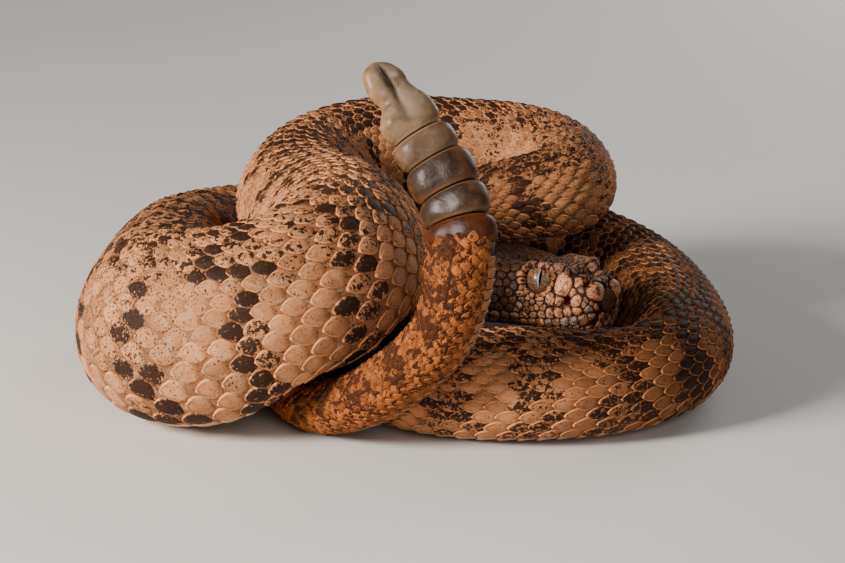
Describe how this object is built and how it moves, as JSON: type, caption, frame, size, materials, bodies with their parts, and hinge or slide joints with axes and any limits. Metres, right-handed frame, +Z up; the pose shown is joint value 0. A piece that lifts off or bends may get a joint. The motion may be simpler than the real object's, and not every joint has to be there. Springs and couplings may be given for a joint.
{
  "type": "coiled rattlesnake",
  "caption": "Young rattlesnake resting in a tight raised coil, its head low behind the front turn and its rattle held upright, as a still life-size model.",
  "frame": {"origin": "middle of the bounding box, at the floor that the belly lies on", "axes": "+Z up, -Y towards the front, where the thick coil, the rattle and the head show, +X to the right of someone looking along +Y"},
  "size_m": [0.08, 0.08, 0.0443],
  "materials": {
    "skin_tan": "keeled scales, pinkish tan with dark brown blotches",
    "skin_brown": "keeled scales, orange brown with dark brown bands",
    "skin_tail": "small keeled scales, bright orange brown with dark patches",
    "skin_head": "small rough head scales, dusty pink brown with dark speckles",
    "horn": "glossy grey tan horn",
    "horn_base": "glossy orange brown horn",
    "eye": "glossy pale iris with an upright slit pupil"
  },
  "bodies": {
    "root": {"neck": "skin_tan", "forebody_small_loop": "skin_tan", "forebody_top_coil": "skin_tan", "midbody_fold": "skin_tan", "midbody_thick_coil": "skin_tan", "midbody_left_coil": "skin_tan", "hindbody_back_coil": "skin_brown", "hindbody_right_coil": "skin_brown", "hindbody_front_coil": "skin_brown", "hindbody_inner_strand": "skin_brown", "hindbody_inner_turn": "skin_brown", "tail": "skin_tail", "head": "skin_head", "lower_jaw": "skin_head", "rattle_ring_1": "horn", "rattle_ring_2": "horn", "rattle_ring_3": "horn", "rattle_button": "horn", "rattle_base": "horn_base", "eye_left": "eye", "eye_right": "eye"}
  },
  "joints": []
}
